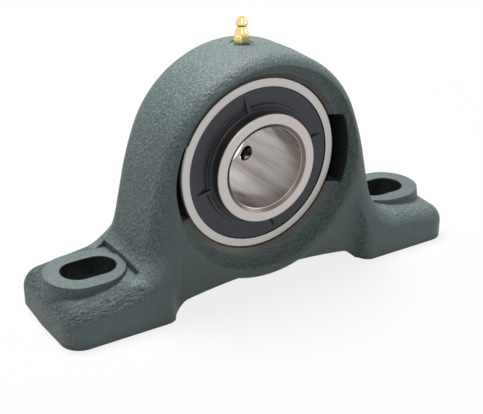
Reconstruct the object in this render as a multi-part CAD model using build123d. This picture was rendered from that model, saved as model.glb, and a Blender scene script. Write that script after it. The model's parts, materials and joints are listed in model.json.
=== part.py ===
from build123d import *
import os
from math import asin, atan, cos, hypot, pi, radians, sin, sqrt, tan

# Pillow block bearing: a cast iron foot-mounted housing with a self-aligning ball bearing insert.
# Millimetres. The origin is on the base plane, midway between the two slots. X runs along the
# base, Y along the shaft, Z up. The short side of the insert and the loading notches face -Y.

cut_margin = 1.0               # cutting tools reach this far past the metal

# ---- Housing: main sizes ----
shaft_height = 67.0            # base plane to shaft centre
base_length = 245.0
base_width = 67.0
bolt_spacing = 190.0
slot_length = 30.0
slot_width = 20.0

# ---- Housing: arch, legs and web ----
arch_radius = 62.0             # crown of the arch at the parting plane
arch_sweep = 22.0              # the arch turns into the shoulders this far above the horizontal
shoulder_radius = 169.0
leg_flare = 12.6               # legs lean out from the vertical, degrees
web_depth = 53.0               # front to back over the arch
cast_draft = 2.0               # draft away from the parting plane, degrees
rim_radius = 10.8              # rounding all along the outer edge of the casting
web_recess = 1.4               # the web lies this much behind the ring at the base
web_draft = 1.9                # the web leans out to meet the ring's face higher up, degrees

# ---- Housing: feet ----
foot_top_height = 25.0         # where the leg's line meets the foot's top, before the fillet
foot_slope = 7.0               # the foot's top falls towards its end, degrees
leg_fillet = 15.3
foot_corner_radius = 11.0
cheek_low = 12.6               # the foot's upright cheek blends into the leg between these heights
cheek_high = 43.2
waist_inner = 54.0             # the foot's cheek blends into the web between these distances
waist_outer = 66.6
pad_height = 25.4              # bolt pad above the base plane
pad_rim = 8.9                  # metal round the slot at the pad's top
pad_inner_rim = 4.0            # metal between the slot and the leg's pocket
pad_root = 0.5                 # the pad runs this far into the leg
pad_draft = 8.0
pocket_height = 23.6           # the leg's fillet is cut back to this height round the pad
pocket_margin = 1.5            # the pocket is this much wider than the pad, each side

# ---- Housing: underside ----
under_half_span = 58.5         # half the gap between the two feet
under_step = 5.4               # height of the gap just inside the feet
under_rise = 9.6               # height of the gap at its middle
under_toe = 52.2               # the step is complete this far from the middle
under_toe_radius = 6.3
ring_outer_radius = 62.3       # barrel round the insert, seen below the web
ring_draft = 1.0
ring_edge_radius = 3.1

# ---- Housing: seat ----
seat_radius = 50.0             # spherical seat
seat_clearance = 0.05
seat_half_width = 15.5
cone_radius = 52.4             # outer edge of the machined lead-in cone
cone_half_width = 18.3
lip_radius = 58.2              # the lip's rounding meets the ring's face
lip_rounding = 3.0
lip_meet_angle = 12.0          # between the rounding and the face, so that the lip ends in a faint line
notch_half_height = 19.8       # loading notches
notch_radius = 53.5
notch_past_middle = 2.7

# ---- Housing: lubrication ----
nipple_offset = 3.8            # behind the parting plane
nipple_thread_radius = 3.15
nipple_thread_depth = 7.0
passage_radius = 2.0
spot_face_radius = 6.0
spot_face_depth = 0.9          # deep enough to clean up the drafted crown all round
seam_turn = 37.0               # keeps the turned tool's seam off the seams of the casting

# ---- Insert: rings and balls ----
bore_radius = 22.5
outer_ring_width = 30.0
inner_ring_front = 22.0        # inner ring reaches this far in front of the middle
inner_ring_rear = 35.0
inner_ring_radius = 30.2
ball_radius = 8.731
pitch_radius = 36.25
ball_count = 8
first_ball_angle = 90.0
groove_conformity = 1.04       # raceway radius over ball radius
running_clearance = 0.05
outer_land_radius = 41.8
bore_chamfer = 2.2
bore_chamfer_length = 1.5
ring_chamfer = 0.6
oil_groove_depth = 1.0
oil_groove_margin = 0.6        # the groove is this much wider than what opens into it
oil_hole_offset = 5.5          # the oil hole stands this far behind the nipple
oil_hole_radius = 1.5

# ---- Insert: cage ----
cage_sheet = 0.9
cage_width = 5.7               # radial width of the ribbon, centred on the balls' circle
pocket_clearance = 0.12
rivet_radius = 1.2
rivet_head_radius = 2.0
rivet_head_height = 0.8

# ---- Insert: seals and flingers ----
seal_recess_radius = 42.8      # widened bore at the outer ring's faces
seal_groove_radius = 43.6
seal_groove_bevel = 0.5
seal_inner_face = 11.7         # distance of the seal's inner face from the middle
seal_core_thickness = 0.8
lip_height = 3.15              # rubber between the inner ring and the core's edge
lip_thickness = 1.6
lip_flare = 1.2                # the lip thins to its edge over this height
lip_edge_width = 0.64
lip_edge_inset = 0.32          # from the lip's outer face to its thin edge
flinger_inner_face = 13.5
flinger_thickness = 0.9
flinger_edge_gap = 0.3
flinger_edge_bevel = 0.3
flinger_face_bevel = 0.2
collar_radius = 33.6
collar_step_radius = 31.9
collar_height = 1.3
collar_step_height = 2.4
collar_root_bevel = 0.3
collar_top_bevel = 0.4
rib_count = 4
rib_angle = 14.0
rib_tip_radius = 40.1
rib_root_width = 2.3
rib_tip_width = 0.4
rib_tip_height = 0.15
rib_top_drop = 0.1             # the rib's top lies this much below the collar's
rib_shelf = 0.6                # the rib's top stays level this far out from the collar
rib_root_sink = 1.0            # the rib's root lies this deep in the collar
rib_foot_sink = 0.3            # and its foot this deep in the disc

# ---- Insert: set screws ----
screw_offset = 27.4            # from the middle of the insert
screw_angles = (-35.0, 85.0)
screw_radius = 4.6             # threads are left plain at their root size
screw_length = 8.0
screw_retreat = 1.5            # the cup point stands back from the bore
screw_socket_flats = 5.0
screw_socket_depth = 4.5
screw_cup_radius = 2.8
screw_cup_depth = 2.24
screw_bevel = 0.8
fit_clearance = 0.05

# ---- Grease nipple ----
nipple_hex_flats = 7.94
nipple_hex_height = 5.1
nipple_bevel = 0.5
nipple_shank_gap = 1.0         # the shank stops this far above the end of its hole
nipple_collar_radius = 3.7
nipple_collar_height = 0.9
nipple_neck_radius = 2.4
nipple_neck_flare = 0.5        # the neck is this much wider at its foot
nipple_neck_length = 1.6       # tapering part of the neck
nipple_neck_height = 9.3
nipple_head_radius = 3.3
nipple_head_rim = 0.9
nipple_head_height = 11.4
nipple_mouth_radius = 1.7
nipple_height = 14.0
nipple_bore_radius = 1.7
nipple_feed_radius = 1.1
nipple_spring_seat = 1.6
check_ball_radius = 1.3
check_hole_radius = 0.95
check_clearance = 0.02
check_ball_depth = 1.0         # the closed ball's top lies this far below the nipple's top
spring_wire_radius = 0.2
spring_inset = 0.1             # the coil is this much smaller than the ball
spring_turns = 4

shaft_centre = Pos(0, 0, shaft_height)


def ring_solid(points):
    """Closed outline of (radius, y) points turned about the shaft's axis."""
    return revolve(make_face(Polyline(*points, close=True)), Axis.Y)


def around(solid, count, first=0.0):
    """Copies of a solid spaced evenly about the shaft's axis."""
    return [Rot(0, -(first + 360.0 * i / count), 0) * solid for i in range(count)]


def box_between(low, high):
    """Box given by its lowest and highest corners."""
    size = [b - a for a, b in zip(low, high)]
    middle = [(a + b) / 2 for a, b in zip(low, high)]
    return Pos(*middle) * Box(*size)


def step_blend(start, end):
    """Two equal tangent arcs that carry a line from start to end, leaving and arriving along v."""
    (u0, v0), (u1, v1) = start, end
    turn = 2 * atan(abs(u1 - u0) / abs(v1 - v0))
    radius = abs(v1 - v0) / 2 / sin(turn)
    bulge = radius * (1 - cos(turn / 2))
    reach = radius * sin(turn / 2)
    du, dv = (u1 - u0) / abs(u1 - u0), (v1 - v0) / abs(v1 - v0)
    middle = ((u0 + u1) / 2, (v0 + v1) / 2)
    first = ThreePointArc(start, (u0 + du * bulge, v0 + dv * reach), middle)
    second = ThreePointArc(middle, (u1 - du * bulge, v1 - dv * reach), end)
    return [first, second]


# ---------------------------------------------------------------- housing

def leg_corner():
    """Point where the straight leg meets the foot's top, and where the leg starts."""
    sweep, flare = radians(arch_sweep), radians(leg_flare)
    offset = shoulder_radius - arch_radius
    start = (shoulder_radius * cos(flare) - offset * cos(sweep),
             shoulder_radius * sin(flare) - offset * sin(sweep))
    corner_height = foot_top_height - shaft_height
    corner = (start[0] + (start[1] - corner_height) * tan(flare), corner_height)
    return start, corner


def front_outline():
    """Arch, shoulders, legs and feet seen along the shaft, from the shaft's centre."""
    sweep, flare = radians(arch_sweep), radians(leg_flare)
    offset = shoulder_radius - arch_radius
    leg_start, corner = leg_corner()
    middle = (sweep + flare) / 2
    shoulder_middle = (shoulder_radius * cos(middle) - offset * cos(sweep),
                       shoulder_radius * sin(middle) - offset * sin(sweep))
    arch_top = (0, arch_radius)
    arch_end = (arch_radius * cos(sweep), arch_radius * sin(sweep))
    arch_middle = (arch_radius * cos((sweep + pi / 2) / 2), arch_radius * sin((sweep + pi / 2) / 2))
    half = base_length / 2
    foot_end = (half, corner[1] - (half - corner[0]) * tan(radians(foot_slope)))
    floor = -shaft_height - rim_radius
    with BuildSketch(Plane.XZ) as outline:
        with BuildLine():
            ThreePointArc(arch_top, arch_middle, arch_end)
            ThreePointArc(arch_end, shoulder_middle, leg_start)
            Polyline(leg_start, corner, foot_end, (half, floor), (0, floor), arch_top)
        make_face()
        fillet(outline.vertices().sort_by_distance((*corner, 0))[0], leg_fillet)
        mirror(about=Plane.YZ)
    return outline.sketch


def cheek_prism():
    """Front and back faces of the casting: deep at the feet, blending to the web's depth."""
    deep, slim = base_width / 2, web_depth / 2
    top = shaft_height + arch_radius + cut_margin
    lower, upper = step_blend((deep, cheek_low), (slim, cheek_high))
    with BuildSketch(Plane.YZ) as profile:
        with BuildLine():
            Line((0, 0), (deep, 0))
            Line((deep, 0), (deep, cheek_low))
            add(lower)
            add(upper)
            Polyline((slim, cheek_high), (slim, top), (0, top), (0, 0))
        make_face()
        mirror(about=Plane.YZ)
    return extrude(profile.sketch, amount=base_length / 2 + cut_margin, both=True)


def rounded_outer_edges(casting):
    """Vertical corners of the feet, then one rounding that runs round the whole front outline."""
    half_length, half_width = base_length / 2, base_width / 2
    near = 1.0                  # two places that lie nearer than this count as one
    touching = 0.1
    corner_zone = 3.0           # the draft brings the feet's ends in by less than this
    corner_height = 4.0         # the feet's upright corners are all taller than this
    corners = [e for e in casting.edges()
               if abs(e.center().X) > half_length - corner_zone
               and abs(e.center().Y) > half_width - near
               and abs((e @ 0).Z - (e @ 1).Z) > corner_height]
    casting = fillet(corners, foot_corner_radius)

    def on_rim(edge):
        first, last, centre = edge @ 0, edge @ 1, edge.center()
        if max(p.Z for p in (first, last, centre)) < cheek_low + near:
            return False
        if min(abs(p.X) for p in (first, last, centre)) > half_length - corner_zone / 2:
            return abs(first.Z - last.Z) < corner_height / 2
        if min(abs(p.Y) for p in (first, last, centre)) < near:
            return False
        seam_on_corner = abs(first.X - last.X) < near
        seam_across_face = abs(first.X + last.X) < touching and abs(centre.Z - first.Z) < touching
        return not seam_on_corner and not seam_across_face

    return fillet([e for e in casting.edges() if on_rim(e)], rim_radius)


def waist_cut(side):
    """Takes the web between the feet back from the cheeks, on the face on one side (+1 or -1)."""
    deep = base_width / 2 + cut_margin
    slim = web_depth / 2 - web_recess
    lean = tan(radians(web_draft))
    top = web_recess / lean
    rows = []
    for height in (-cut_margin, top):
        depth = slim + (height + cut_margin) * lean
        near, far = step_blend((depth, waist_inner), (base_width / 2, waist_outer))
        with BuildSketch(Plane.XY.offset(height)) as plan:
            with BuildLine():
                Line((0, depth), (waist_inner, depth))
                for arc in (near, far):
                    a, m, b = [arc @ t for t in (0, 0.5, 1)]
                    ThreePointArc((a.Y, a.X), (m.Y, m.X), (b.Y, b.X))
                Polyline((waist_outer, base_width / 2), (waist_outer, deep), (0, deep), (0, depth))
            make_face()
            mirror(about=Plane.YZ)
        rows.append(plan.sketch)
    cut = loft(rows, ruled=True)
    return cut if side > 0 else mirror(cut, Plane.XZ)


def under_cut():
    """Gap below the web, between the feet."""
    toes = [(-under_toe, under_step), (under_toe, under_step)]
    with BuildSketch(Plane.XZ) as profile:
        with BuildLine():
            ThreePointArc(toes[0], (0, under_rise), toes[1])
            Polyline(toes[1], (under_half_span, 0), (under_half_span, -cut_margin),
                     (-under_half_span, -cut_margin), (-under_half_span, 0), toes[0])
        make_face()
        fillet([profile.vertices().sort_by_distance((*toe, 0))[0] for toe in toes], under_toe_radius)
    return extrude(profile.sketch, amount=base_width, both=True)


def ring_barrel():
    """Barrel round the insert, which stands proud of the web below the shaft."""
    face = web_depth / 2
    edge = ring_outer_radius - face * tan(radians(ring_draft))
    with BuildSketch(Plane.XY) as profile:
        with BuildLine():
            Polyline((0, 0), (ring_outer_radius, 0), (edge, face), (0, face), (0, 0))
        make_face()
        fillet(profile.vertices().sort_by_distance((edge, face, 0))[0], ring_edge_radius)
        mirror(about=Plane.XZ)
    barrel = revolve(profile.sketch, Axis.Y)
    keep_top = web_recess / tan(radians(web_draft)) - shaft_height
    reach = ring_outer_radius + cut_margin
    return barrel & box_between((-reach, -face, -reach), (reach, face, keep_top))


def lip_arc():
    """Start, middle and end of the lip's rounding, which leaves the flared rough wall smoothly."""
    meet = radians(lip_meet_angle)
    centre = (lip_radius + lip_rounding * sin(meet), web_depth / 2 - lip_rounding * cos(meet))
    out, along = centre[0] - cone_radius, centre[1] - cone_half_width
    flare = atan(out / along) - asin(lip_rounding / hypot(out, along))
    last = pi / 2 - meet
    return [(centre[0] - lip_rounding * cos(turn), centre[1] + lip_rounding * sin(turn))
            for turn in (flare, (flare + last) / 2, last)]


def seat_tool():
    """Everything that is cut out round the shaft's axis: seat, lead-in cones, walls and lips."""
    sphere_edge = sqrt(seat_radius ** 2 - seat_half_width ** 2)
    past = web_depth / 2 + cut_margin
    with BuildSketch(Plane.XY) as profile:
        with BuildLine():
            ThreePointArc((sphere_edge, -seat_half_width), (seat_radius, 0),
                          (sphere_edge, seat_half_width))
            for side in (-1, 1):
                start, middle, end = [(r, side * y) for r, y in lip_arc()]
                Polyline((sphere_edge, side * seat_half_width), (cone_radius, side * cone_half_width),
                         start)
                ThreePointArc(start, middle, end)
                Polyline(end, (lip_radius, side * past), (0, side * past))
            Line((0, -past), (0, past))
        make_face()
    return revolve(profile.sketch, Axis.Y)


def notch_tool():
    """Two notches that let the insert in edge on, from the front."""
    front = web_depth / 2
    depth = front + notch_past_middle
    drum = Pos(0, notch_past_middle - depth / 2, 0) * Rot(90, 0, 0) * Cylinder(notch_radius, depth)
    reach = notch_radius + cut_margin
    band = box_between((-reach, -front - cut_margin, -notch_half_height),
                       (reach, notch_past_middle, notch_half_height))
    return drum & band


def pocket_wall():
    """Distance from the middle to the wall that clears the leg's fillet away from the pad."""
    return bolt_spacing / 2 - slot_length / 2 - pad_inner_rim


def pad(side):
    """Raised bolt pad round the slot; its inner end runs into the leg."""
    radius = slot_width / 2 + pad_rim
    inner = pocket_wall() - pad_root + radius
    outer = bolt_spacing / 2 + (slot_length - slot_width) / 2
    with BuildSketch(Plane.XY.offset(pad_height)) as top:
        with Locations((side * (inner + outer) / 2, 0)):
            SlotCenterToCenter(outer - inner, 2 * radius)
    drop = pad_height - cheek_low
    return extrude(top.sketch, amount=drop, dir=(0, 0, -1), taper=-pad_draft)


def leg_pocket(side):
    """Straight-walled pocket in the leg's fillet, so that a washer lies flat on the pad."""
    half = slot_width / 2 + pad_rim + pocket_margin
    near, far = sorted((side * pocket_wall(), side * bolt_spacing / 2))
    return box_between((near, -half, pocket_height), (far, half, shaft_height))


def bolt_slot(side):
    with BuildSketch(Plane.XY.offset(-cut_margin)) as outline:
        with Locations((side * bolt_spacing / 2, 0)):
            SlotOverall(slot_length, slot_width)
    return extrude(outline.sketch, amount=pad_height + 2 * cut_margin)


def nipple_base_height():
    """Height of the spot face that the nipple sits on."""
    return shaft_height + arch_radius - spot_face_depth


def grease_passage():
    """Spot face, tapped hole and drilled passage down to the seat, turned as one stepped tool."""
    base = nipple_base_height()
    thread, thread_end = nipple_thread_radius + fit_clearance, base - nipple_thread_depth
    drill_end = shaft_height + seat_radius - cut_margin
    above = base + spot_face_depth + cut_margin
    tool = upright_turning([(0, drill_end), (passage_radius, drill_end), (passage_radius, thread_end),
                            (thread, thread_end), (thread, base), (spot_face_radius, base),
                            (spot_face_radius, above), (0, above)])
    return Pos(0, nipple_offset, 0) * Rot(0, 0, seam_turn) * tool


def upright_cylinder(radius, bottom, top):
    """Upright cylinder between two heights."""
    return Pos(0, 0, (bottom + top) / 2) * Cylinder(radius, top - bottom)


def make_housing():
    body = extrude(front_outline(), amount=base_width / 2 + cut_margin, taper=cast_draft, both=True)
    body = shaft_centre * body & cheek_prism()
    body = rounded_outer_edges(body)
    body -= waist_cut(1)
    body -= waist_cut(-1)
    body -= under_cut()
    body += shaft_centre * ring_barrel()
    for side in (-1, 1):
        body -= leg_pocket(side)
        body += pad(side)
        body -= bolt_slot(side)
    body -= shaft_centre * seat_tool()
    body -= shaft_centre * notch_tool()
    body -= grease_passage()
    return body


# ---------------------------------------------------------------- rings, balls and cage

def raceway(radius_at_bottom, side):
    """Ring of round section that cuts a ball groove; side is +1 for the outer ring, -1 for the inner."""
    groove = ball_radius * groove_conformity
    return Rot(90, 0, 0) * Torus(radius_at_bottom - side * groove, groove)


def outer_ring_face_radius():
    half = outer_ring_width / 2
    return sqrt((seat_radius - seat_clearance) ** 2 - half ** 2)


def make_outer_ring():
    half = outer_ring_width / 2
    outside = seat_radius - seat_clearance
    face = outer_ring_face_radius()
    corner = half - ring_chamfer
    shoulder = sqrt(outside ** 2 - corner ** 2)
    land = seal_inner_face
    groove_end = seal_inner_face + seal_core_thickness
    with BuildSketch(Plane.XY) as profile:
        with BuildLine():
            Line((outer_land_radius, 0), (outer_land_radius, land))
            Polyline((outer_land_radius, land), (seal_groove_radius, land),
                     (seal_groove_radius, groove_end),
                     (seal_recess_radius, groove_end + seal_groove_bevel),
                     (seal_recess_radius, half), (face - ring_chamfer, half), (shoulder, corner))
            rise = asin(corner / outside) / 2
            ThreePointArc((shoulder, corner), (outside * cos(rise), outside * sin(rise)), (outside, 0))
            Line((outside, 0), (outer_land_radius, 0))
        make_face()
        mirror(about=Plane.XZ)
    ring = revolve(profile.sketch, Axis.Y)
    ring -= raceway(pitch_radius + ball_radius + running_clearance, 1)
    ring -= oil_groove()
    hole = upright_cylinder(oil_hole_radius, outer_land_radius - cut_margin, seat_radius + cut_margin)
    ring -= Pos(0, oil_hole_place(), 0) * hole
    return ring


def oil_hole_place():
    """The hole clears the raceway on one side and the seal on the other."""
    return nipple_offset + oil_hole_offset


def oil_groove():
    """Groove round the outer ring that carries grease from the housing's passage to the oil hole."""
    near = nipple_offset - passage_radius - oil_groove_margin
    far = oil_hole_place() + oil_hole_radius + oil_groove_margin
    bottom = sqrt(seat_radius ** 2 - far ** 2) - oil_groove_depth
    above = seat_radius + cut_margin
    return ring_solid([(bottom, near), (above, near), (above, far), (bottom, far)])


def screw_holes(radius):
    """Radial cylinders at the set screws' places, for holes."""
    length = inner_ring_radius - bore_radius + 2 * cut_margin
    start = Pos((bore_radius + inner_ring_radius) / 2, screw_offset, 0) * Rot(0, 90, 0)
    return [Rot(0, -angle, 0) * start * Cylinder(radius, length) for angle in screw_angles]


def make_inner_ring():
    front, rear, c = -inner_ring_front, inner_ring_rear, ring_chamfer
    ring = ring_solid([
        (bore_radius, front + bore_chamfer_length), (bore_radius + bore_chamfer, front),
        (inner_ring_radius - c, front), (inner_ring_radius, front + c),
        (inner_ring_radius, rear - c), (inner_ring_radius - c, rear),
        (bore_radius + 2 * c, rear), (bore_radius, rear - 2 * c)])
    ring -= raceway(pitch_radius - ball_radius - running_clearance, -1)
    for hole in screw_holes(screw_radius + fit_clearance):
        ring -= hole
    return ring


def make_balls():
    return around(Pos(pitch_radius, 0, 0) * Sphere(ball_radius), ball_count, first_ball_angle)


def cage_inner_radius():
    return pitch_radius - cage_width / 2


def cage_outer_radius():
    return pitch_radius + cage_width / 2


def first_rivet_angle():
    """The rivets stand midway between the balls."""
    return first_ball_angle + 180.0 / ball_count


def pocket_drum(radius):
    """Cylinder that points along the radius through a ball's centre."""
    depth = cage_width + 2 * cut_margin
    return Pos(pitch_radius, 0, 0) * Rot(0, 90, 0) * Cylinder(radius, depth)


def make_cage_half(side):
    """Pressed ribbon: flat between the balls and arched over each of them."""
    inside = ball_radius + pocket_clearance
    outside = inside + cage_sheet
    flat = [(cage_inner_radius(), 0), (cage_outer_radius(), 0),
            (cage_outer_radius(), side * cage_sheet), (cage_inner_radius(), side * cage_sheet)]
    band = [(r, y and side * (outside + cut_margin)) for r, y in flat]
    seam = Rot(0, 90.0 / ball_count, 0)  # clear of the balls and of the rivets
    half = seam * ring_solid(flat)
    arches = seam * ring_solid(band)
    half += [arches & drum for drum in around(pocket_drum(outside), ball_count, first_ball_angle)]
    half -= around(pocket_drum(inside), ball_count, first_ball_angle)
    half -= around(rivet_shank(rivet_radius), ball_count, first_rivet_angle())
    return half


def rivet_shank(radius):
    return Pos(pitch_radius, 0, 0) * Rot(90, 0, 0) * Cylinder(radius, 2 * cage_sheet)


def make_cage_rivets():
    """Rivets with a flat head on both sides of the two cage halves."""
    top = cage_sheet + rivet_head_height
    upper = [(rivet_radius, cage_sheet), (rivet_head_radius, cage_sheet),
             (rivet_head_radius - rivet_head_height / 2, top), (0, top)]
    lower = [(r, -y) for r, y in reversed(upper)]
    rivet = Pos(pitch_radius, 0, 0) * ring_solid(lower + upper)
    return Compound(around(rivet, ball_count, first_rivet_angle()))


# ---------------------------------------------------------------- seals and flingers

def lip_edge_radius():
    return inner_ring_radius + running_clearance


def seal_core_inner_radius():
    return lip_edge_radius() + lip_height


def make_seal_core(side):
    """Steel washer snapped into the outer ring's groove."""
    inner = seal_core_inner_radius()
    near, far = side * seal_inner_face, side * (seal_inner_face + seal_core_thickness)
    edge = seal_groove_radius - fit_clearance
    return ring_solid([(inner, near), (edge, near), (edge, far), (inner, far)])


def make_seal_lip(side):
    """Rubber lip on the core's inner edge; its thin edge runs on the inner ring."""
    middle = seal_inner_face + seal_core_thickness / 2
    near, far = middle - lip_thickness / 2, middle + lip_thickness / 2
    edge = lip_edge_radius()
    root = seal_core_inner_radius()
    edge_far = far - lip_edge_inset
    return ring_solid([(root, side * near), (root, side * far),
                       (edge + lip_flare, side * far), (edge, side * edge_far),
                       (edge, side * (edge_far - lip_edge_width)), (edge + lip_flare, side * near)])


def flinger_rib(side):
    """One tapering rib that stands on the collar and runs out on the disc."""
    face = flinger_inner_face + flinger_thickness
    foot, top = face - rib_foot_sink, face + collar_step_height - rib_top_drop
    root = collar_step_radius - rib_root_sink
    upright = [(root, foot), (root, top), (collar_step_radius + rib_shelf, top),
               (rib_tip_radius, face + rib_tip_height), (rib_tip_radius, foot)]
    wedge = extrude(make_face(Polyline(*[(r, side * y) for r, y in upright], close=True)),
                    amount=rib_root_width, both=True, dir=(0, 0, 1))
    half_root, half_tip = rib_root_width / 2, rib_tip_width / 2
    with BuildSketch(Plane.XZ) as plan:
        with BuildLine():
            Polyline((root, -half_root), (root, half_root), (rib_tip_radius, half_tip),
                     (rib_tip_radius, -half_tip), (root, -half_root))
        make_face()
    return wedge & extrude(plan.sketch, amount=2 * inner_ring_rear, both=True)


def make_flinger(side):
    """Pressed slinger that turns with the inner ring and covers the seal."""
    near, face = flinger_inner_face, flinger_inner_face + flinger_thickness
    edge = seal_recess_radius - flinger_edge_gap
    top = face + collar_step_height
    outline = [(inner_ring_radius, near), (edge - flinger_edge_bevel, near),
               (edge, near + flinger_edge_bevel), (edge, face - flinger_face_bevel),
               (edge - flinger_face_bevel, face), (collar_radius + collar_root_bevel, face),
               (collar_radius, face + collar_root_bevel), (collar_radius, face + collar_height),
               (collar_step_radius, face + collar_height), (collar_step_radius, top - collar_top_bevel),
               (collar_step_radius - collar_top_bevel, top), (inner_ring_radius, top)]
    flinger = ring_solid([(r, side * y) for r, y in outline])
    for rib in around(flinger_rib(side), rib_count, rib_angle):
        flinger += rib
    return flinger


# ---------------------------------------------------------------- set screws

def make_set_screw(angle):
    """Socket set screw with a cup point that faces the shaft."""
    tip = bore_radius + screw_retreat
    end = tip + screw_length
    rim = screw_radius - screw_bevel
    with BuildSketch(Plane.XY) as profile:
        Polygon((tip + screw_cup_depth, 0), (tip, screw_cup_radius), (tip, rim),
                (tip + screw_bevel, screw_radius), (end - screw_bevel, screw_radius), (end, rim),
                (end, 0), align=None)
    screw = revolve(profile.sketch, Axis.X)
    with BuildSketch(Plane.YZ.offset(end - screw_socket_depth)) as socket:
        RegularPolygon(screw_socket_flats / 2, 6, major_radius=False)
    screw -= extrude(socket.sketch, amount=screw_socket_depth + cut_margin)
    return Rot(0, -angle, 0) * Pos(0, screw_offset, 0) * screw


# ---------------------------------------------------------------- grease nipple

def upright_turning(points):
    """Closed outline of (radius, height) points turned about the vertical axis."""
    with BuildSketch(Plane.XZ) as profile:
        with BuildLine():
            Polyline(*points, points[0])
        make_face()
    return revolve(profile.sketch, Axis.Z)


def make_nipple_body():
    """Threaded shank, hexagon, neck and head; heights count from the spot face."""
    with BuildSketch(Plane.XY) as flats:
        RegularPolygon(nipple_hex_flats / 2, 6, major_radius=False)
    hexagon = extrude(flats.sketch, amount=nipple_hex_height)
    corner = nipple_hex_flats / sqrt(3)
    bevel = nipple_bevel
    trim = upright_turning([(0, 0), (corner - bevel, 0), (corner, bevel),
                            (corner, nipple_hex_height - bevel),
                            (corner - 2 * bevel, nipple_hex_height), (0, nipple_hex_height)])
    shank_end = nipple_shank_gap - nipple_thread_depth
    shank = upright_turning([(0, shank_end), (nipple_thread_radius - bevel, shank_end),
                             (nipple_thread_radius, shank_end + bevel), (nipple_thread_radius, 0),
                             (0, 0)])
    stem = upright_turning([
        (0, nipple_hex_height), (nipple_collar_radius, nipple_hex_height),
        (nipple_collar_radius, nipple_hex_height + nipple_collar_height),
        (nipple_neck_radius + nipple_neck_flare, nipple_neck_height - nipple_neck_length),
        (nipple_neck_radius, nipple_neck_height),
        (nipple_head_radius, nipple_head_height - nipple_head_rim),
        (nipple_head_radius, nipple_head_height), (nipple_mouth_radius, nipple_height),
        (0, nipple_height)])
    body = (hexagon & trim) + shank + stem
    for tool in nipple_bore():
        body -= tool
    return body


def check_ball_height():
    """The ball's centre when it closes the mouth: it rests on a cone below the check hole."""
    return nipple_height - check_ball_depth - check_ball_radius


def nipple_bore():
    """Feed hole, spring chamber with a conical seat, and the check hole in the head."""
    lift = check_clearance * sqrt(2)
    centre = check_ball_height() + lift
    seat_top = centre + check_ball_radius * sqrt(2) - check_hole_radius
    cone_start = centre + check_ball_radius * sqrt(2) - nipple_bore_radius
    chamber = upright_turning([(0, nipple_spring_seat), (nipple_bore_radius, nipple_spring_seat),
                               (nipple_bore_radius, cone_start), (check_hole_radius, seat_top),
                               (check_hole_radius, nipple_height + cut_margin),
                               (0, nipple_height + cut_margin)])
    feed = upright_cylinder(nipple_feed_radius, -nipple_thread_depth, nipple_spring_seat)
    return [chamber, feed]


def make_check_ball():
    return Pos(0, 0, check_ball_height()) * Sphere(check_ball_radius)


def make_check_spring():
    """Coil between the chamber's floor and the ball."""
    bottom = nipple_spring_seat + spring_wire_radius + check_clearance
    coil_radius = check_ball_radius - spring_inset
    contact = sqrt((check_ball_radius + spring_wire_radius) ** 2 - coil_radius ** 2)
    top = check_ball_height() - contact - check_clearance
    coil = Pos(0, 0, bottom) * Helix((top - bottom) / spring_turns, top - bottom, coil_radius)
    wire = Plane(origin=coil @ 0, z_dir=coil % 0) * RegularPolygon(spring_wire_radius, 6)
    return sweep(wire, coil, is_frenet=True)


# ---------------------------------------------------------------- the whole assembly

def named_parts():
    parts = {"housing": make_housing()}
    insert = {
        "outer_ring": make_outer_ring(),
        "inner_ring": make_inner_ring(),
        "cage_front": make_cage_half(-1),
        "cage_rear": make_cage_half(1),
        "cage_rivets": make_cage_rivets(),
        "seal_core_front": make_seal_core(-1),
        "seal_core_rear": make_seal_core(1),
        "seal_lip_front": make_seal_lip(-1),
        "seal_lip_rear": make_seal_lip(1),
        "flinger_front": make_flinger(-1),
        "flinger_rear": make_flinger(1),
    }
    for number, ball in enumerate(make_balls(), 1):
        insert[f"ball_{number}"] = ball
    for number, angle in enumerate(screw_angles, 1):
        insert[f"set_screw_{number}"] = make_set_screw(angle)
    nipple = {
        "grease_nipple": make_nipple_body(),
        "nipple_ball": make_check_ball(),
        "nipple_spring": make_check_spring(),
    }
    nipple_place = Pos(0, nipple_offset, nipple_base_height())
    parts |= {name: shaft_centre * solid for name, solid in insert.items()}
    parts |= {name: nipple_place * solid for name, solid in nipple.items()}
    return parts


os.makedirs("parts", exist_ok=True)
for name, solid in named_parts().items():
    export_step(solid, f"parts/{name}.step")
    print(name, "volume", round(solid.volume), "mm3")
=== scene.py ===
import json
from math import cos, pi, radians, sin

import bmesh
import bpy
from mathutils import Matrix, Vector


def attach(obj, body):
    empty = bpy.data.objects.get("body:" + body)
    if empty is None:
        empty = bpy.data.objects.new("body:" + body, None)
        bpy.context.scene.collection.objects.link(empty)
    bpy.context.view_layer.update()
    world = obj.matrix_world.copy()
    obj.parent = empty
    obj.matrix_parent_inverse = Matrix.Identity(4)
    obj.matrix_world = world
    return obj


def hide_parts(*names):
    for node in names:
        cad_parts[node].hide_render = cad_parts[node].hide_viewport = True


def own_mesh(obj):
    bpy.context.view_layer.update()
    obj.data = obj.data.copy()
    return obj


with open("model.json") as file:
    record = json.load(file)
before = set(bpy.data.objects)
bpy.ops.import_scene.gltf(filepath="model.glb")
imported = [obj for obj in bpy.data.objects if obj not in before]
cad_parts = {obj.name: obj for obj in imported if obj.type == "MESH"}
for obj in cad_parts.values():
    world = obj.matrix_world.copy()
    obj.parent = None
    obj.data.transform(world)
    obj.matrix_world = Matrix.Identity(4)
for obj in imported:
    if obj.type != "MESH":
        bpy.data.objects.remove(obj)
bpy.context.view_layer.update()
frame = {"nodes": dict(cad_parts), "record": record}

shaftHeight = 0.067     # base plane to the shaft's centre, metres
boreRadius = 0.0225
print("frame loaded, nodes:", len(frame["nodes"]))

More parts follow.
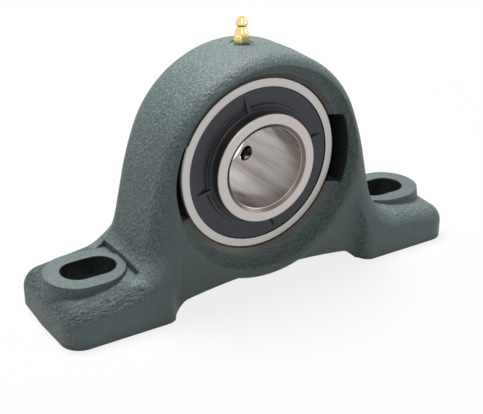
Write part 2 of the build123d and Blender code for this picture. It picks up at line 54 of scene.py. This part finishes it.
cameraSetup = {
    "azimuth": -32.276,         # degrees, 0 looks along the shaft at the front
    "elevation": 25.753,
    "roll": 0.237,
    "distance": 0.5820,
    "target": (-0.00259, 0.0, shaftHeight - 0.03051),
    "focalPixels": 1056.99,
    "imageSize": (483, 414),
    "middlePixel": (240.67, 207.10),    # where the camera's own axis meets the image
    "sensor": 36.0,
    "clipStart": 0.01,
}


def placeCamera(setup):
    azimuth, elevation, roll = (radians(setup[key]) for key in ("azimuth", "elevation", "roll"))
    back = Vector((sin(azimuth) * cos(elevation), -cos(azimuth) * cos(elevation), sin(elevation)))
    right = Vector((cos(azimuth), sin(azimuth), 0.0))
    up = back.cross(right)
    rolledRight = right * cos(roll) + up * sin(roll)
    rolledUp = up * cos(roll) - right * sin(roll)
    spot = Vector(setup["target"]) + back * setup["distance"]
    turned = Matrix((rolledRight, rolledUp, back)).transposed().to_4x4()
    width, height = setup["imageSize"]
    middleX, middleY = setup["middlePixel"]
    data = bpy.data.cameras.new("viewCamera")
    data.sensor_width = setup["sensor"]
    data.lens = setup["focalPixels"] * setup["sensor"] / width
    data.shift_x = (width / 2 - middleX) / width
    data.shift_y = (middleY - height / 2) / width
    data.clip_start = setup["clipStart"]
    camera = bpy.data.objects.new("viewCamera", data)
    camera.matrix_world = Matrix.Translation(spot) @ turned
    bpy.context.scene.collection.objects.link(camera)
    bpy.context.scene.camera = camera


placeCamera(cameraSetup)
bpy.context.scene.view_settings.view_transform = "Standard"
print("camera placed")


def newMaterial(name):
    material = bpy.data.materials.new(name)
    material.use_nodes = True
    return material, material.node_tree, material.node_tree.nodes["Principled BSDF"]


def addNode(tree, kind, **settings):
    node = tree.nodes.new(kind)
    for key, value in settings.items():
        setattr(node, key, value)
    return node


def connect(tree, source, target):
    tree.links.new(source, target)


def feed(tree, socket, value):
    # a colour or a number is written in, another node's output is linked
    if isinstance(value, tuple):
        socket.default_value = (*value, 1.0)
    elif isinstance(value, (int, float)):
        socket.default_value = value
    else:
        connect(tree, value, socket)


def calc(tree, operation, *values):
    node = addNode(tree, "ShaderNodeMath", operation=operation)
    for socket, value in zip(node.inputs, values):
        feed(tree, socket, value)
    return node.outputs[0]


def product(tree, first, *others):
    for value in others:
        first = calc(tree, "MULTIPLY", first, value)
    return first


def unsigned(tree, value):
    return calc(tree, "ABSOLUTE", value)


def reach(tree, first, second):
    # length of the two at a right angle
    squares = calc(tree, "ADD", product(tree, first, first), product(tree, second, second))
    return calc(tree, "SQRT", squares)


def combine(tree, *parts):
    node = addNode(tree, "ShaderNodeCombineXYZ")
    for socket, part in zip(node.inputs, parts):
        connect(tree, part, socket)
    return node.outputs[0]


def objectPlace(tree):
    # object coordinates and their three parts, with z counted from the shaft's centre
    coords = addNode(tree, "ShaderNodeTexCoord").outputs["Object"]
    split = addNode(tree, "ShaderNodeSeparateXYZ")
    connect(tree, coords, split.inputs[0])
    x, y = split.outputs[0], split.outputs[1]
    z = calc(tree, "SUBTRACT", split.outputs[2], shaftHeight)
    return {"coords": coords, "x": x, "y": y, "z": z, "radius": reach(tree, x, z)}


def noise(tree, coords, size, detail=3.0, roughness=0.55):
    # noise whose blobs are about size metres across
    node = addNode(tree, "ShaderNodeTexNoise")
    node.inputs["Scale"].default_value = 1.0 / size
    node.inputs["Detail"].default_value = detail
    node.inputs["Roughness"].default_value = roughness
    connect(tree, coords, node.inputs["Vector"])
    return node.outputs["Fac"]


def ramp(tree, value, low, high):
    # 0 at low, 1 at high, smoothly between
    node = addNode(tree, "ShaderNodeMapRange", interpolation_type="SMOOTHSTEP", clamp=True)
    node.inputs["From Min"].default_value = low
    node.inputs["From Max"].default_value = high
    connect(tree, value, node.inputs["Value"])
    return node.outputs["Result"]


zoneBlur = 0.0002       # metres over which one zone of a material fades into the next


def below(tree, value, edge, blur=zoneBlur):
    # 1 up to the edge, 0 a blur past it
    return ramp(tree, value, edge + blur, edge)


def beyond(tree, value, edge, blur=zoneBlur):
    # 1 from the edge on, 0 a blur before it
    return ramp(tree, value, edge - blur, edge)


def varied(tree, pattern, spread, middle):
    # the middle value, up and down by half the spread as the pattern goes from 0 to 1
    return calc(tree, "MULTIPLY_ADD", pattern, spread, middle - spread / 2)


def changed(tree, value, mask, change):
    # the value times 1 + change where the mask is 1
    return product(tree, value, calc(tree, "MULTIPLY_ADD", mask, change, 1.0))


def mixColour(tree, share, first, second, blend="MIX"):
    # first where share is 0, second where it is 1
    node = addNode(tree, "ShaderNodeMix", data_type="RGBA", blend_type=blend)
    feed(tree, node.inputs["Factor"], share)
    feed(tree, node.inputs[6], first)       # the node's two colours
    feed(tree, node.inputs[7], second)
    return node.outputs[2]


def mixNumber(tree, share, first, second):
    # first where share is 0, second where it is 1
    span = calc(tree, "SUBTRACT", second, first)
    return calc(tree, "MULTIPLY_ADD", share, span, first)


def addBump(tree, shader, height, depth, edgeRadius=None):
    # height 0..1 stands for depth metres
    node = addNode(tree, "ShaderNodeBump")
    node.inputs["Strength"].default_value = 1.0
    node.inputs["Distance"].default_value = depth
    connect(tree, height, node.inputs["Height"])
    if edgeRadius:
        rounding = addNode(tree, "ShaderNodeBevel", samples=6)
        rounding.inputs["Radius"].default_value = edgeRadius
        connect(tree, rounding.outputs["Normal"], node.inputs["Normal"])
    connect(tree, node.outputs["Normal"], shader.inputs["Normal"])


def turnedMarks(tree, place, markSize):
    # fine rings left by grinding or turning round the shaft's axis
    rings = combine(tree, place["radius"], place["y"])
    return noise(tree, rings, markSize, detail=4.0, roughness=0.7)


def darkened(colour, share):
    return tuple(part * share for part in colour)


castingLook = {
    "paint": (0.078, 0.108, 0.107),
    "paintWorn": (0.128, 0.160, 0.162),
    "wornShare": 0.55,
    "wornBand": (0.46, 0.64),       # sand noise at which the wear starts and is full
    "recessPaintedShade": (0.008, 0.011, 0.010),     # painted shade in the slots and notches
    "roughness": 0.42,
    "sandGloss": 0.14,              # how far the sand changes the roughness
    "coarseGloss": 0.12,
    "footGloss": 0.20,
    "specular": 0.34,
    "edgeRadius": 0.0013,
    "machined": (0.070, 0.064, 0.055),
    "machinedMetal": 0.6,
    "machinedRoughness": 0.38,
    "machinedHeight": 0.5,          # level, with no sand
    "machinedRadius": 0.0501,       # paint covers the last of the lead-in cone
    "machinedHalfWidth": 0.0184,
    "roughEdge": 0.0003,
    "sandSize": 0.0016,
    "sandDepth": 0.00068,
    "grainSize": 0.0012,
    "grainBand": (0.36, 0.64),
    "speckContrast": (0.10, 0.55),  # on smooth and on coarse faces
    "lumpSize": 0.010,
    "lumpDepth": 0.8,               # in units of sandDepth
    "patchSize": 0.045,
    "patchSpread": 0.35,
    "patchMiddle": 0.995,
    "mouldSide": (0.97, 0.60),      # lean of the smooth faces and of the coarse ones
    "coarseness": (0.16, 1.0),
    "padLevel": 0.0254 - shaftHeight,   # the bolt pads' tops, from the shaft's centre
    "padFacing": (0.985, 0.999),
    "padMargin": 0.001,
    "padSmoother": 0.6,
    # painted shade: the flat pad tops are darkened by this share
    "padPaintedShade": 0.16,
    "footDepth": 0.003,             # below the pad's level
    "footBlur": 0.002,
    "footFacing": (0.15, 0.75),
    "leftFootEnd": -0.068,
    "leftFootBlur": 0.012,
    # painted shade: the top of the left foot is darkened by this share
    "footPaintedShade": 0.46,
    "furrowStretch": 0.28,
    "furrowSize": 0.0020,
    "furrowDepth": 0.9,             # in units of sandDepth
    "furrowLight": 0.42,
    "notchHalfHeight": 0.0197,
    "notchRadius": 0.0536,
    "notchBack": 0.0028,
    "slotPlace": 0.095,             # middle of each bolt slot, from the middle of the base
    "slotHalfRun": 0.005,
    "slotRadius": 0.0101,
}


def slotDistance(tree, place, look):
    # distance from the middle line of the nearer bolt slot
    along = calc(tree, "SUBTRACT", unsigned(tree, place["x"]), look["slotPlace"])
    past = calc(tree, "SUBTRACT", unsigned(tree, along), look["slotHalfRun"])
    return reach(tree, calc(tree, "MAXIMUM", past, 0.0), place["y"])


def machinedSeatAndShadedRecesses(tree, place, look):
    # the machined seat, and the notches and slots, which get painted shade
    edge = look["roughEdge"]
    bored = below(tree, place["radius"], look["machinedRadius"])
    wide = below(tree, unsigned(tree, place["y"]), look["machinedHalfWidth"], edge)
    level = below(tree, unsigned(tree, place["z"]), look["notchHalfHeight"])
    ahead = below(tree, place["y"], look["notchBack"])
    inNotch = product(tree, below(tree, place["radius"], look["notchRadius"], edge), level, ahead)
    inSlot = below(tree, slotDistance(tree, place, look), look["slotRadius"])
    return product(tree, bored, wide), calc(tree, "MAXIMUM", inNotch, inSlot)


def castingZones(tree, place, look):
    # where the mould was smooth or coarse, the flat pads, and the top of the left foot
    facing = addNode(tree, "ShaderNodeSeparateXYZ")
    connect(tree, addNode(tree, "ShaderNodeTexCoord").outputs["Normal"], facing.inputs[0])
    up = facing.outputs[2]
    side = ramp(tree, unsigned(tree, facing.outputs[1]), *look["mouldSide"])
    margin = look["padMargin"]
    atPad = below(tree, place["z"], look["padLevel"] + margin, margin)
    onPad = product(tree, ramp(tree, up, *look["padFacing"]), atPad)
    coarse = mixNumber(tree, changed(tree, side, onPad, -look["padSmoother"]), *look["coarseness"])
    lowEnough = below(tree, place["z"], look["padLevel"] - look["footDepth"], look["footBlur"])
    farLeft = below(tree, place["x"], look["leftFootEnd"], look["leftFootBlur"])
    footTop = product(tree, lowEnough, farLeft, ramp(tree, up, *look["footFacing"]))
    return side, onPad, coarse, footTop


def footFurrows(tree, place, footTop, look):
    # long furrows that the mould left on the left foot
    stretched = combine(tree, product(tree, place["x"], look["furrowStretch"]), place["y"], place["z"])
    pattern = noise(tree, stretched, look["furrowSize"], roughness=0.65)
    return product(tree, ramp(tree, pattern, *look["grainBand"]), footTop)


def speckled(tree, shade, grain, coarse, look):
    # the grain lightens and darkens the shade, most on coarse faces
    speck = calc(tree, "SUBTRACT", ramp(tree, grain, *look["grainBand"]), 0.5)
    speck = product(tree, speck, mixNumber(tree, coarse, *look["speckContrast"]))
    return calc(tree, "MULTIPLY_ADD", shade, speck, shade)


def shadedColour(tree, colour, shade):
    grey = addNode(tree, "ShaderNodeCombineColor")
    for socket in grey.inputs:
        connect(tree, shade, socket)
    return mixColour(tree, 1.0, colour, grey.outputs[0], blend="MULTIPLY")


def paintedCasting(look):
    material, tree, shader = newMaterial("castingPaint")
    shader.inputs["Specular IOR Level"].default_value = look["specular"]
    place = objectPlace(tree)
    sand = noise(tree, place["coords"], look["sandSize"], detail=2.0, roughness=0.6)
    grain = noise(tree, place["coords"], look["grainSize"], detail=2.0, roughness=0.6)
    lumps = noise(tree, place["coords"], look["lumpSize"])
    patches = noise(tree, place["coords"], look["patchSize"], detail=2.0)
    side, onPad, coarse, footTop = castingZones(tree, place, look)
    machined, recessShade = machinedSeatAndShadedRecesses(tree, place, look)
    furrows = footFurrows(tree, place, footTop, look)

    worn = product(tree, ramp(tree, sand, *look["wornBand"]), side, look["wornShare"])
    shade = varied(tree, patches, look["patchSpread"], look["patchMiddle"])
    # painted shade on the top of the left foot
    shade = changed(tree, shade, footTop, -look["footPaintedShade"])
    # painted shade on the flat pad tops
    shade = changed(tree, shade, onPad, -look["padPaintedShade"])
    shade = changed(tree, shade, furrows, look["furrowLight"])
    shade = speckled(tree, shade, grain, coarse, look)
    colour = shadedColour(tree, mixColour(tree, worn, look["paint"], look["paintWorn"]), shade)
    colour = mixColour(tree, machined, colour, look["machined"])
    # painted shade: the slots and notches go nearly black
    connect(tree, mixColour(tree, recessShade, colour, look["recessPaintedShade"]), shader.inputs["Base Color"])

    metal = product(tree, machined, calc(tree, "SUBTRACT", 1.0, recessShade))
    connect(tree, product(tree, metal, look["machinedMetal"]), shader.inputs["Metallic"])
    gloss = varied(tree, sand, look["sandGloss"], look["roughness"])
    gloss = calc(tree, "MULTIPLY_ADD", coarse, look["coarseGloss"], gloss)
    gloss = calc(tree, "MULTIPLY_ADD", footTop, look["footGloss"], gloss)
    gloss = mixNumber(tree, metal, gloss, look["machinedRoughness"])
    connect(tree, gloss, shader.inputs["Roughness"])

    height = product(tree, coarse, sand)
    height = calc(tree, "MULTIPLY_ADD", furrows, look["furrowDepth"], height)
    height = calc(tree, "MULTIPLY_ADD", lumps, look["lumpDepth"], height)
    height = mixNumber(tree, metal, height, look["machinedHeight"])
    addBump(tree, shader, height, look["sandDepth"], look["edgeRadius"])
    return material


steelLook = {
    "groundColour": (0.520, 0.502, 0.482),
    "groundDarker": 0.88,
    "faceColour": (0.515, 0.480, 0.465),
    "boreColour": (0.430, 0.400, 0.386),
    "backColour": (0.20, 0.185, 0.155),
    "chamferColour": (0.16, 0.130, 0.108),
    # painted dark reflections in the bore
    "darkReflectionColour": (0.235, 0.205, 0.190),
    "darkReflectionSize": 0.010,
    "darkReflectionPlace": 0.11,        # another value gives other painted reflections of the same kind
    "darkReflectionStretch": 0.06,
    "darkReflectionBand": (0.34, 0.66),
    "cloudSize": 0.02,
    "markSize": 0.00035,
    "markDepth": 0.000012,
    "edgeRadius": 0.0003,
    "roughness": 0.30,
    "roughnessSpread": 0.10,
    "boreRoughness": 0.25,
    "boreEdge": boreRadius + 0.0001,
    "chamferStart": boreRadius + 0.0004,
    "chamferEnd": boreRadius + 0.0021,
    "outsideRadius": 0.0300,
    "outsideBlur": 0.0003,
}


def groundSteel(look):
    # the outer ring: turned marks round the axis
    material, tree, shader = newMaterial("groundSteel")
    shader.inputs["Metallic"].default_value = 1.0
    place = objectPlace(tree)
    marks = turnedMarks(tree, place, look["markSize"])
    clouds = noise(tree, place["coords"], look["cloudSize"], detail=2.0)
    darker = darkened(look["groundColour"], look["groundDarker"])
    connect(tree, mixColour(tree, marks, darker, look["groundColour"]), shader.inputs["Base Color"])
    gloss = varied(tree, clouds, look["roughnessSpread"], look["roughness"])
    connect(tree, gloss, shader.inputs["Roughness"])
    addBump(tree, shader, marks, look["markDepth"], look["edgeRadius"])
    return material


def paintedBoreReflections(tree, place, look):
    # painted dark reflections, long and soft along the bore
    along = calc(tree, "MULTIPLY_ADD", place["y"], look["darkReflectionStretch"], look["darkReflectionPlace"])
    stretched = combine(tree, place["x"], along, place["z"])
    pattern = noise(tree, stretched, look["darkReflectionSize"], detail=4.0, roughness=0.62)
    return ramp(tree, pattern, *look["darkReflectionBand"])


def innerRingSteel(look):
    # bright face, darker outside, brownish chamfer and a bore with painted dark reflections, on one
    # ring
    material, tree, shader = newMaterial("innerRingSteel")
    shader.inputs["Metallic"].default_value = 1.0
    place = objectPlace(tree)
    radius = place["radius"]
    marks = turnedMarks(tree, place, look["markSize"])
    outside = beyond(tree, radius, look["outsideRadius"], look["outsideBlur"])
    inBore = below(tree, radius, look["boreEdge"])
    pastBore = beyond(tree, radius, look["chamferStart"])
    chamfer = product(tree, pastBore, below(tree, radius, look["chamferEnd"]))
    # painted dark reflections streak the bore's colour
    boreWithReflections = mixColour(tree, paintedBoreReflections(tree, place, look), look["darkReflectionColour"], look["boreColour"])
    colour = mixColour(tree, chamfer, look["faceColour"], look["chamferColour"])
    colour = mixColour(tree, inBore, colour, boreWithReflections)
    connect(tree, mixColour(tree, outside, colour, look["backColour"]), shader.inputs["Base Color"])
    gloss = mixNumber(tree, inBore, look["roughness"], look["boreRoughness"])
    connect(tree, gloss, shader.inputs["Roughness"])
    addBump(tree, shader, marks, look["markDepth"], look["edgeRadius"])
    return material


plainLook = {
    "darker": 0.82,
    "roughnessSpread": 0.10,
    "speckle": 0.0006,
    "depth": 0.00001,
}


def plainFinish(name, colour, metallic, roughness, **other):
    look = {**plainLook, **other}
    material, tree, shader = newMaterial(name)
    shader.inputs["Metallic"].default_value = metallic
    coords = addNode(tree, "ShaderNodeTexCoord").outputs["Object"]
    fine = noise(tree, coords, look["speckle"])
    darker = darkened(colour, look["darker"])
    connect(tree, mixColour(tree, fine, darker, colour), shader.inputs["Base Color"])
    connect(tree, varied(tree, fine, look["roughnessSpread"], roughness), shader.inputs["Roughness"])
    addBump(tree, shader, fine, look["depth"])
    return material


# name, colour, metallic, roughness
finishes = {
    "casting": paintedCasting(castingLook),
    "ground": groundSteel(steelLook),
    "innerRing": innerRingSteel(steelLook),
    "flinger": plainFinish("flingerBlueBlack", (0.040, 0.043, 0.052), 0.25, 0.36,
                           speckle=0.0008, depth=0.00002),
    "screw": plainFinish("blackOxide", (0.030, 0.030, 0.034), 0.6, 0.32),
    "brass": plainFinish("nippleBrass", (0.96, 0.74, 0.34), 1.0, 0.17),
    "ball": plainFinish("polishedBall", (0.74, 0.74, 0.74), 1.0, 0.10),
    "cage": plainFinish("cageSheet", (0.48, 0.46, 0.43), 1.0, 0.34),
    "sealSteel": plainFinish("sealWasher", (0.05, 0.05, 0.055), 0.0, 0.50),
    "sealRubber": plainFinish("sealRubber", (0.025, 0.025, 0.027), 0.0, 0.62),
    "spring": plainFinish("springWire", (0.55, 0.55, 0.55), 1.0, 0.30),
}
print("materials made:", len(finishes))

smoothAngle = 32.0      # edges sharper than this stay sharp, degrees
mergeDistance = 1e-6    # metres

pieceFinish = {
    "housing": "casting", "outer_ring": "ground", "inner_ring": "innerRing",
    "cage_front": "cage", "cage_rear": "cage", "cage_rivets": "cage",
    "seal_core_front": "sealSteel", "seal_core_rear": "sealSteel",
    "seal_lip_front": "sealRubber", "seal_lip_rear": "sealRubber",
    "flinger_front": "flinger", "flinger_rear": "flinger",
    "set_screw_1": "screw", "set_screw_2": "screw",
    "grease_nipple": "brass", "nipple_ball": "ball", "nipple_spring": "spring",
}
ballCount = 8
pieceFinish.update({f"ball_{number}": "ball" for number in range(1, ballCount + 1)})


def bodyOfNode(nodeName):
    for body, nodes in frame["record"]["behaviour"]["bodies"].items():
        if nodeName in nodes:
            return body
    return None


def dressPiece(nodeName, finish):
    # a merged copy with smooth faces and sharp edges stands for the loose triangles
    shape = bmesh.new()
    shape.from_mesh(frame["nodes"][nodeName].data)
    bmesh.ops.remove_doubles(shape, verts=shape.verts, dist=mergeDistance)
    bmesh.ops.dissolve_degenerate(shape, edges=shape.edges, dist=mergeDistance)
    for face in shape.faces:
        face.smooth = True
        face.material_index = 0
    for edge in shape.edges:
        edge.smooth = edge.calc_face_angle(pi) < radians(smoothAngle)
    mesh = bpy.data.meshes.new(nodeName + "Dressed")
    shape.to_mesh(mesh)
    shape.free()
    mesh.materials.append(finishes[finish])
    piece = bpy.data.objects.new(nodeName + "Dressed", mesh)
    bpy.context.scene.collection.objects.link(piece)
    if finish == "casting":
        # large flat faces keep their own normal where they meet a rounding
        evened = piece.modifiers.new("evenNormals", "WEIGHTED_NORMAL")
        evened.mode = "FACE_AREA_WITH_ANGLE"
        evened.keep_sharp = True
    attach(piece, bodyOfNode(nodeName))
    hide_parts(nodeName)
    return piece


dressed = {nodeName: dressPiece(nodeName, finish) for nodeName, finish in pieceFinish.items()}
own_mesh(dressed["nipple_spring"])
print("pieces dressed:", len(dressed))

studio = {
    "floorSize": 12.0,
    "floorColour": (0.55, 0.55, 0.55),
    "floorRoughness": 0.9,
    "shadowShare": 0.18,        # how much of the real shadow shows on the white floor
    "fadeStart": 0.12,          # metres from the middle of the base
    "fadeEnd": 0.45,
    "white": (1.0, 1.0, 1.0),   # the far floor and the background
    "ambient": 0.07,
    "lamps": {
        "topSoftbox": {"spot": (-0.02, 0.34, 1.12), "size": 0.6, "watts": 25.0},
        "frontLeft": {"spot": (-0.50, -1.10, 1.00), "size": 0.9, "watts": 3.2},
        "right": {"spot": (1.15, -0.75, 0.60), "size": 0.6, "watts": 2.9},
    },
    "aim": (0.0, 0.0, 0.06),
}


def lightPathShare(tree):
    # 1 for what the camera sees, straight or in a gloss or glass
    path = addNode(tree, "ShaderNodeLightPath")
    share = calc(tree, "MAXIMUM", path.outputs["Is Camera Ray"], path.outputs["Is Glossy Ray"])
    return calc(tree, "MAXIMUM", share, path.outputs["Is Transmission Ray"])


def makeFloor(setup):
    material, tree, shader = newMaterial("studioFloor")
    feed(tree, shader.inputs["Base Color"], setup["floorColour"])
    shader.inputs["Roughness"].default_value = setup["floorRoughness"]
    glow = addNode(tree, "ShaderNodeEmission")
    feed(tree, glow.inputs["Color"], setup["white"])
    # the shadow fades out with distance, so the far floor meets the background in white
    coords = addNode(tree, "ShaderNodeTexCoord").outputs["Object"]
    distance = addNode(tree, "ShaderNodeVectorMath", operation="LENGTH")
    connect(tree, coords, distance.inputs[0])
    near = ramp(tree, distance.outputs["Value"], setup["fadeEnd"], setup["fadeStart"])
    glowShare = calc(tree, "MULTIPLY_ADD", near, -setup["shadowShare"], 1.0)
    mix = addNode(tree, "ShaderNodeMixShader")
    connect(tree, product(tree, lightPathShare(tree), glowShare), mix.inputs[0])
    connect(tree, shader.outputs[0], mix.inputs[1])
    connect(tree, glow.outputs[0], mix.inputs[2])
    connect(tree, mix.outputs[0], tree.nodes["Material Output"].inputs["Surface"])
    mesh = bpy.data.meshes.new("studioFloor")
    shape = bmesh.new()
    bmesh.ops.create_grid(shape, x_segments=1, y_segments=1, size=setup["floorSize"] / 2)
    shape.to_mesh(mesh)
    shape.free()
    mesh.materials.append(material)
    floor = bpy.data.objects.new("studioFloor", mesh)
    bpy.context.scene.collection.objects.link(floor)


def makeWorld(setup):
    world = bpy.data.worlds.new("studioWorld")
    world.use_nodes = True
    bpy.context.scene.world = world
    tree = world.node_tree
    background = tree.nodes["Background"]
    feed(tree, background.inputs["Color"], setup["white"])
    strength = mixNumber(tree, lightPathShare(tree), setup["ambient"], 1.0)
    connect(tree, strength, background.inputs["Strength"])


def makeLamps(setup):
    for name, lamp in setup["lamps"].items():
        data = bpy.data.lights.new(name, "AREA")
        data.shape = "SQUARE"
        data.size = lamp["size"]
        data.energy = lamp["watts"]
        light = bpy.data.objects.new(name, data)
        spot = Vector(lamp["spot"])
        light.location = spot
        light.rotation_euler = (Vector(setup["aim"]) - spot).to_track_quat("-Z", "Y").to_euler()
        bpy.context.scene.collection.objects.link(light)


makeFloor(studio)
makeWorld(studio)
makeLamps(studio)
print("studio made")
